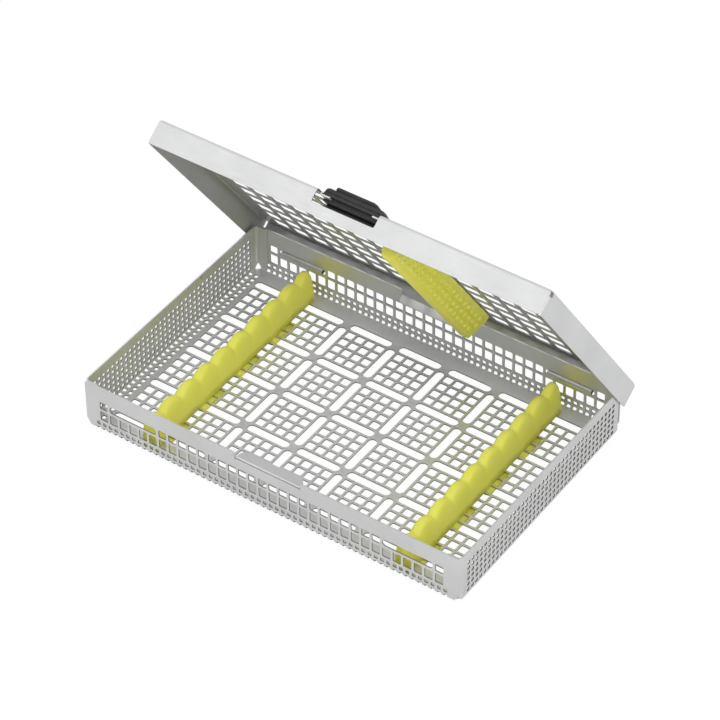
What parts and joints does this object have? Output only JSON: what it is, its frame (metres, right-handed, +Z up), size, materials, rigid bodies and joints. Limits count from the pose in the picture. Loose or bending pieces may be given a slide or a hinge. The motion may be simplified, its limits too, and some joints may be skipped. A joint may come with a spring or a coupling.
{
  "type": "sterilization basket",
  "caption": "Perforated stainless steel basket for washing and sterilizing instruments, with a hinged grid lid, silicone holder bars and a sliding latch.",
  "frame": {"origin": "under the middle of the whole basket with its lid open as in the picture, on the surface that the silicone feet stand on; the tray's own middle is 6.7 mm in front of it", "axes": "+X along the basket's length, to the right seen from the latch side; +Y from the latch side to the hinge side; +Z up out of the open tray"},
  "size_m": [0.28, 0.1946, 0.1833],
  "materials": {
    "stainless_steel": "satin electropolished sheet with faint brushing, bright at bends and cut edges",
    "silicone": "soft matt moulded silicone, lemon yellow",
    "latch_plastic": "moulded heat-resistant plastic with a faint sheen"
  },
  "bodies": {
    "tray": {"tray_floor": "stainless_steel", "tray_front_wall": "stainless_steel", "tray_back_wall": "stainless_steel", "tray_left_wall": "stainless_steel", "tray_right_wall": "stainless_steel", "tray_corner_front_left": "stainless_steel", "tray_corner_front_right": "stainless_steel", "tray_corner_back_left": "stainless_steel", "tray_corner_back_right": "stainless_steel", "tray_front_catch": "stainless_steel", "tray_back_flap": "stainless_steel", "left_holder_bar": "silicone", "right_holder_bar": "silicone"},
    "lid": {"lid_plate": "stainless_steel", "lid_front_wall": "stainless_steel", "lid_left_wall": "stainless_steel", "lid_right_wall": "stainless_steel", "lid_corner_left": "stainless_steel", "lid_corner_right": "stainless_steel", "lid_rear_flange": "stainless_steel", "left_hinge_knuckle": "stainless_steel", "right_hinge_knuckle": "stainless_steel", "left_guide_tab": "stainless_steel", "right_guide_tab": "stainless_steel", "lid_press_bar": "silicone", "press_bar_retainers": "stainless_steel"},
    "latch": {"latch_slider": "latch_plastic"}
  },
  "joints": [
    {"name": "lid_hinge", "type": "hinge", "parent": "tray", "child": "lid", "pos_m": [0, 0.08349, 0.0223], "axis": [1, 0, 0], "range_deg": [-39.7, 55.3]},
    {"name": "latch_slide", "type": "slide", "parent": "lid", "child": "latch", "axis": [0, -0.5693, 0.8221], "range_m": [0, 0.004]}
  ]
}
